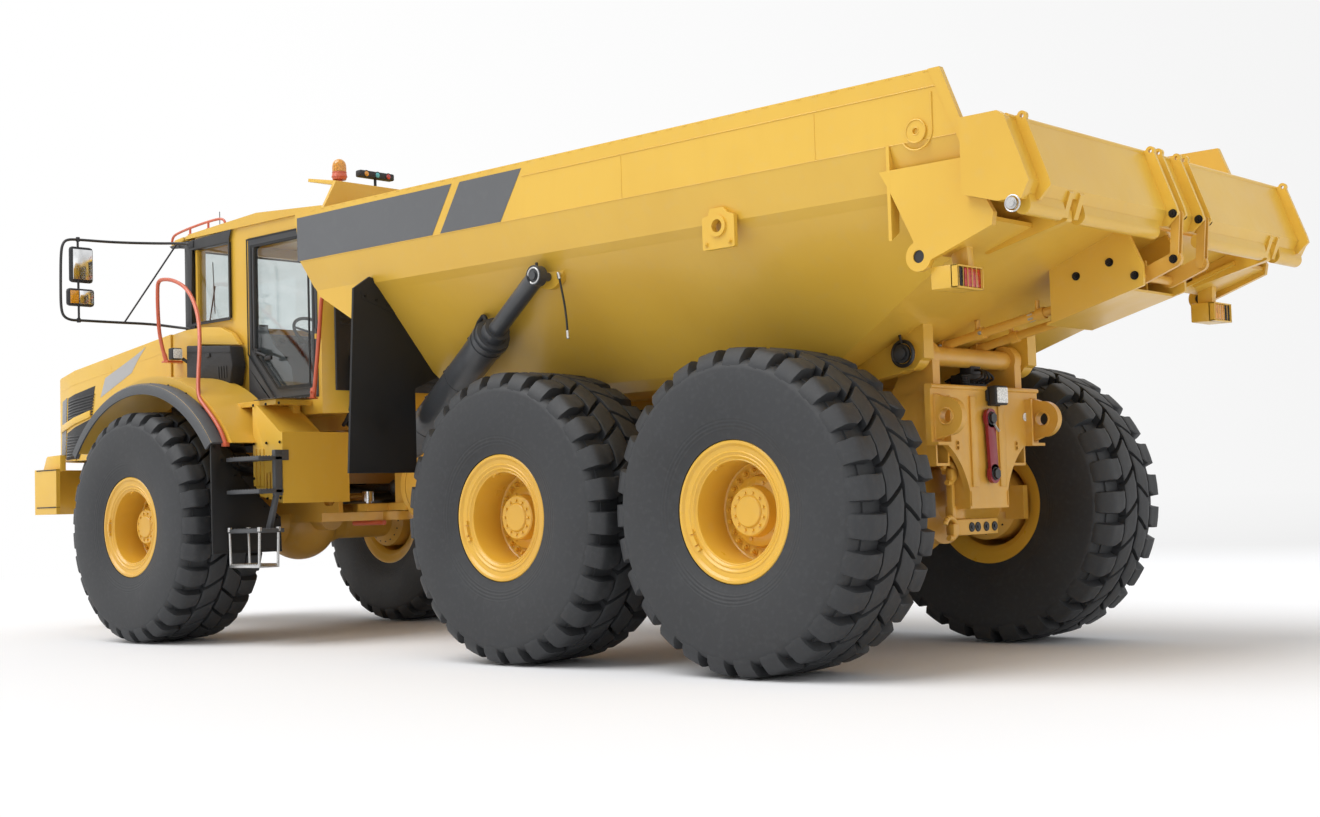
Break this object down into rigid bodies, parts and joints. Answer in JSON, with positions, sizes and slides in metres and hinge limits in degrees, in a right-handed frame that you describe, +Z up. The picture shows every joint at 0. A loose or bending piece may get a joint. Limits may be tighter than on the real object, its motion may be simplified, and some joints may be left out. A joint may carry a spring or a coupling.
{
  "type": "articulated dump truck",
  "caption": "Three-axle articulated dump truck with a tipping body, underhung tailgate, centre-hinge steering and open cab interior.",
  "frame": {"origin": "on the ground under the middle of the machine's overall length, on its centre plane", "axes": "+X forward, +Y left, +Z up"},
  "size_m": [11.263, 3.832, 3.6698],
  "materials": {
    "yellow_paint": "satin",
    "black_paint": "satin",
    "grey_plastic": "matte",
    "red_paint": "satin",
    "tyre_rubber": "matte",
    "black_rubber": "matte",
    "tinted_glass": "gloss",
    "bright_steel": "satin",
    "cast_iron": "matte",
    "seat_fabric": "matte",
    "amber_lens": "gloss"
  },
  "bodies": {
    "rear_unit": {"rear_frame": "yellow_paint", "rest_pads": "black_rubber", "bogie_beams": "yellow_paint", "tandem_axles": "black_paint", "tow_plate": "yellow_paint"},
    "dump_body": {"dump_body": "yellow_paint", "spill_guard": "yellow_paint", "mud_curtains": "black_rubber", "tail_lamps": "black_paint", "warning_lights": "amber_lens", "grease_line": "black_rubber", "grease_fitting": "bright_steel", "grease_line_end": "bright_steel"},
    "tailgate": {"tailgate": "yellow_paint"},
    "gate_levers": {"gate_levers": "yellow_paint"},
    "gate_links": {"gate_links": "yellow_paint"},
    "hitch": {"hitch": "yellow_paint"},
    "front_unit": {"front_frame": "yellow_paint", "front_axle": "black_paint", "engine": "cast_iron", "cab_shell": "yellow_paint", "cab_glass": "tinted_glass", "seat": "seat_fabric", "dashboard": "grey_plastic", "bumper": "yellow_paint", "fenders": "yellow_paint", "mudflaps": "black_rubber", "side_boxes": "yellow_paint", "steps": "black_paint", "handrails": "red_paint", "mirrors": "grey_plastic", "lock_bar": "red_paint"},
    "cab_door": {"cab_door": "grey_plastic", "door_glass": "tinted_glass"},
    "hood": {"hood": "yellow_paint", "front_grille": "black_paint"},
    "wheel_front_left": {"rim_front_left": "yellow_paint", "tyre_front_left": "tyre_rubber"},
    "wheel_front_right": {"rim_front_right": "yellow_paint", "tyre_front_right": "tyre_rubber"},
    "wheel_middle_left": {"rim_middle_left": "yellow_paint", "tyre_middle_left": "tyre_rubber"},
    "wheel_middle_right": {"rim_middle_right": "yellow_paint", "tyre_middle_right": "tyre_rubber"},
    "wheel_rear_left": {"rim_rear_left": "yellow_paint", "tyre_rear_left": "tyre_rubber"},
    "wheel_rear_right": {"rim_rear_right": "yellow_paint", "tyre_rear_right": "tyre_rubber"},
    "hoist_barrel_left": {"hoist_barrel_left": "black_paint", "hoist_hose_left": "black_rubber"},
    "hoist_stage_left": {"hoist_stage_left": "bright_steel"},
    "hoist_rod_left": {"hoist_rod_left": "bright_steel"},
    "hoist_barrel_right": {"hoist_barrel_right": "black_paint", "hoist_hose_right": "black_rubber"},
    "hoist_stage_right": {"hoist_stage_right": "bright_steel"},
    "hoist_rod_right": {"hoist_rod_right": "bright_steel"},
    "steer_barrel_left": {"steer_barrel_left": "black_paint"},
    "steer_rod_left": {"steer_rod_left": "bright_steel"},
    "steer_barrel_right": {"steer_barrel_right": "black_paint"},
    "steer_rod_right": {"steer_rod_right": "bright_steel"}
  },
  "joints": [
    {"name": "wheel_front_left_spin", "type": "hinge", "parent": "front_unit", "child": "wheel_front_left", "pos_m": [2.7995, 1.318, 0.9375], "axis": [0, 1, 0], "continuous": true},
    {"name": "wheel_front_right_spin", "type": "hinge", "parent": "front_unit", "child": "wheel_front_right", "pos_m": [2.7995, -1.318, 0.9375], "axis": [0, 1, 0], "continuous": true},
    {"name": "wheel_middle_left_spin", "type": "hinge", "parent": "rear_unit", "child": "wheel_middle_left", "pos_m": [-1.6515, 1.318, 0.9375], "axis": [0, 1, 0], "continuous": true},
    {"name": "wheel_middle_right_spin", "type": "hinge", "parent": "rear_unit", "child": "wheel_middle_right", "pos_m": [-1.6515, -1.318, 0.9375], "axis": [0, 1, 0], "continuous": true},
    {"name": "wheel_rear_left_spin", "type": "hinge", "parent": "rear_unit", "child": "wheel_rear_left", "pos_m": [-3.5915, 1.318, 0.9375], "axis": [0, 1, 0], "continuous": true},
    {"name": "wheel_rear_right_spin", "type": "hinge", "parent": "rear_unit", "child": "wheel_rear_right", "pos_m": [-3.5915, -1.318, 0.9375], "axis": [0, 1, 0], "continuous": true},
    {"name": "tip", "type": "hinge", "parent": "rear_unit", "child": "dump_body", "pos_m": [-4.1015, 0, 1.83], "axis": [0, -1, 0], "range_deg": [0, 70]},
    {"name": "gate_open", "type": "hinge", "parent": "dump_body", "child": "tailgate", "pos_m": [-5.4815, 0, 2.415], "axis": [0, -1, 0], "range_deg": [0, 91]},
    {"name": "gate_lever_turn", "type": "hinge", "parent": "dump_body", "child": "gate_levers", "pos_m": [-5.3815, 0, 2.18], "axis": [0, -1, 0], "range_deg": [0, 60.17]},
    {"name": "gate_link_turn", "type": "hinge", "parent": "gate_levers", "child": "gate_links", "pos_m": [-5.5765, 0, 2.255], "axis": [0, -1, 0], "range_deg": [-61.14, 0]},
    {"name": "hoist_swing_left", "type": "hinge", "parent": "rear_unit", "child": "hoist_barrel_left", "pos_m": [0.0685, 0.95, 1.49], "axis": [0.4811, 0.6385, 0.6007], "range_deg": [0, 10.4]},
    {"name": "hoist_stage_left", "type": "slide", "parent": "hoist_barrel_left", "child": "hoist_stage_left", "axis": [-0.8694, 0.2595, 0.4204], "range_m": [0, 1.25489]},
    {"name": "hoist_rod_left", "type": "slide", "parent": "hoist_stage_left", "child": "hoist_rod_left", "axis": [-0.8694, 0.2595, 0.4204], "range_m": [0, 1.25489]},
    {"name": "hoist_swing_right", "type": "hinge", "parent": "rear_unit", "child": "hoist_barrel_right", "pos_m": [0.0685, -0.95, 1.49], "axis": [-0.4811, 0.6385, -0.6007], "range_deg": [0, 10.4]},
    {"name": "hoist_stage_right", "type": "slide", "parent": "hoist_barrel_right", "child": "hoist_stage_right", "axis": [-0.8694, -0.2595, 0.4204], "range_m": [0, 1.25489]},
    {"name": "hoist_rod_right", "type": "slide", "parent": "hoist_stage_right", "child": "hoist_rod_right", "axis": [-0.8694, -0.2595, 0.4204], "range_m": [0, 1.25489]},
    {"name": "frame_roll", "type": "hinge", "parent": "rear_unit", "child": "hitch", "pos_m": [0.9685, 0, 1.2], "axis": [1, 0, 0], "continuous": true},
    {"name": "steering", "type": "hinge", "parent": "hitch", "child": "front_unit", "pos_m": [1.4385, 0, 1.2], "axis": [0, 0, 1], "range_deg": [-45, 45]},
    {"name": "steer_swing_left", "type": "hinge", "parent": "front_unit", "child": "steer_barrel_left", "pos_m": [2.5685, 0.33, 1.13], "axis": [0, 0, 1], "range_deg": [-1.15, 1.15]},
    {"name": "steer_rod_left", "type": "slide", "parent": "steer_barrel_left", "child": "steer_rod_left", "axis": [-0.9996, -0.0265, 0], "range_m": [-0.21096, 0.21096]},
    {"name": "steer_swing_right", "type": "hinge", "parent": "front_unit", "child": "steer_barrel_right", "pos_m": [2.5685, -0.33, 1.13], "axis": [0, 0, 1], "range_deg": [-1.15, 1.15]},
    {"name": "steer_rod_right", "type": "slide", "parent": "steer_barrel_right", "child": "steer_rod_right", "axis": [-0.9996, 0.0265, 0], "range_m": [-0.21096, 0.21096]},
    {"name": "door_open", "type": "hinge", "parent": "front_unit", "child": "cab_door", "pos_m": [1.3255, 0.864, 2.6], "axis": [0, 0, 1], "range_deg": [0, 75]},
    {"name": "hood_open", "type": "hinge", "parent": "front_unit", "child": "hood", "pos_m": [5.5035, 0, 1.53], "axis": [0, 1, 0], "range_deg": [0, 75]}
  ],
  "couplings": [
    {"joint": "gate_open", "follows": "tip", "ratio": 1.3},
    {"joint": "gate_lever_turn", "follows": "tip", "ratio": 0.85956},
    {"joint": "gate_link_turn", "follows": "tip", "ratio": -0.87348},
    {"joint": "hoist_swing_left", "follows": "tip", "ratio": 0.14861},
    {"joint": "hoist_stage_left", "follows": "tip", "m_per_rad": 1.0271},
    {"joint": "hoist_rod_left", "follows": "tip", "m_per_rad": 1.0271},
    {"joint": "hoist_swing_right", "follows": "tip", "ratio": 0.14861},
    {"joint": "hoist_stage_right", "follows": "tip", "m_per_rad": 1.0271},
    {"joint": "hoist_rod_right", "follows": "tip", "m_per_rad": 1.0271},
    {"joint": "steer_swing_left", "follows": "steering", "ratio": 0.025541},
    {"joint": "steer_rod_left", "follows": "steering", "m_per_rad": -0.26859},
    {"joint": "steer_swing_right", "follows": "steering", "ratio": 0.025541},
    {"joint": "steer_rod_right", "follows": "steering", "m_per_rad": 0.26859}
  ]
}
